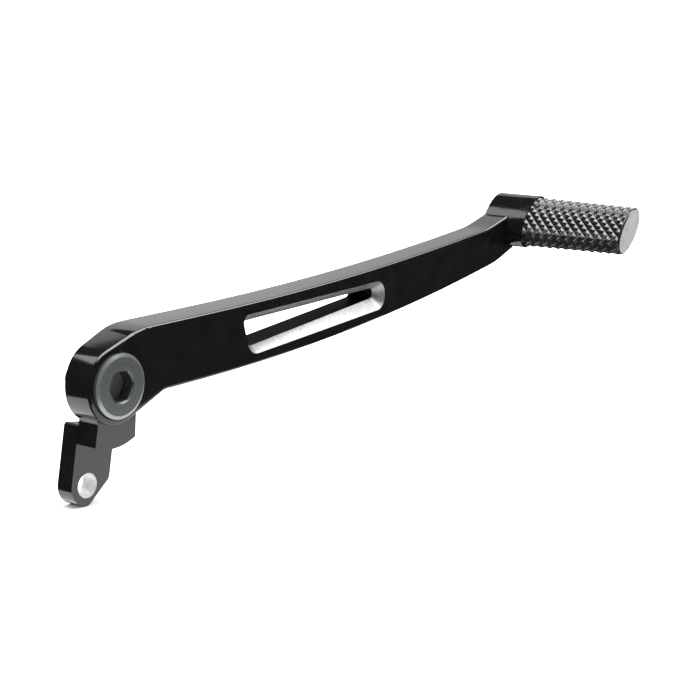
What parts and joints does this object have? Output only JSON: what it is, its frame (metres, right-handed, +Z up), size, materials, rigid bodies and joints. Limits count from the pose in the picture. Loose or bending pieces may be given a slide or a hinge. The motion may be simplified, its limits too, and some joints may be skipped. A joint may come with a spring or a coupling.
{
  "type": "motorcycle gear shift lever",
  "caption": "Curved machined lever with a bolted ball-bearing pivot hub, a linkage lug below it, a long lightening slot and a knurled oval toe peg.",
  "frame": {"origin": "on the pivot axis, in the plane of the rear spacer's free face, where the lever seats on its bracket and the thread begins", "axes": "+X along the arm from the pivot to the toe peg, +Y along the pivot axis in towards the motorcycle, +Z up"},
  "size_m": [0.2148, 0.0624, 0.0666],
  "materials": {
    "anodised_arm": "gloss black anodised, machined",
    "bolt_steel": "dark satin steel, turned face",
    "bearing_steel": "polished bearing steel",
    "cage_brass": "pressed brass",
    "seal_rubber": "nitrile rubber",
    "spring_steel": "spring steel",
    "peg_aluminium": "satin black anodised, knurled",
    "screw_steel": "blackened steel"
  },
  "bodies": {
    "pivot": {"pivot_bolt": "bolt_steel", "head_shim": "spring_steel", "front_bearing_inner_ring": "bearing_steel", "bearing_spacer": "bearing_steel", "rear_bearing_inner_ring": "bearing_steel", "rear_spacer": "bearing_steel", "rear_seal": "seal_rubber"},
    "lever": {"lever_arm": "anodised_arm", "front_bearing_outer_ring": "bearing_steel", "rear_bearing_outer_ring": "bearing_steel", "wave_washer": "spring_steel", "front_seal": "seal_rubber", "toe_peg": "peg_aluminium", "peg_screw": "screw_steel", "peg_lock_washer": "spring_steel", "peg_dowels": "bearing_steel"},
    "front_ball_set": {"front_bearing_balls": "bearing_steel", "front_bearing_cage": "cage_brass"},
    "rear_ball_set": {"rear_bearing_balls": "bearing_steel", "rear_bearing_cage": "cage_brass"}
  },
  "joints": [
    {"name": "lever_pivot", "type": "hinge", "parent": "pivot", "child": "lever", "pos_m": [0, -0.0064, 0], "axis": [0, 1, 0], "range_deg": [-14, 14]},
    {"name": "front_balls_roll", "type": "hinge", "parent": "pivot", "child": "front_ball_set", "pos_m": [0, -0.008, 0], "axis": [0, 1, 0], "range_deg": [-7.78, 7.78]},
    {"name": "rear_balls_roll", "type": "hinge", "parent": "pivot", "child": "rear_ball_set", "pos_m": [0, -0.0046, 0], "axis": [0, 1, 0], "range_deg": [-7.78, 7.78]}
  ],
  "couplings": [
    {"joint": "front_balls_roll", "follows": "lever_pivot", "ratio": 0.556},
    {"joint": "rear_balls_roll", "follows": "lever_pivot", "ratio": 0.556}
  ]
}
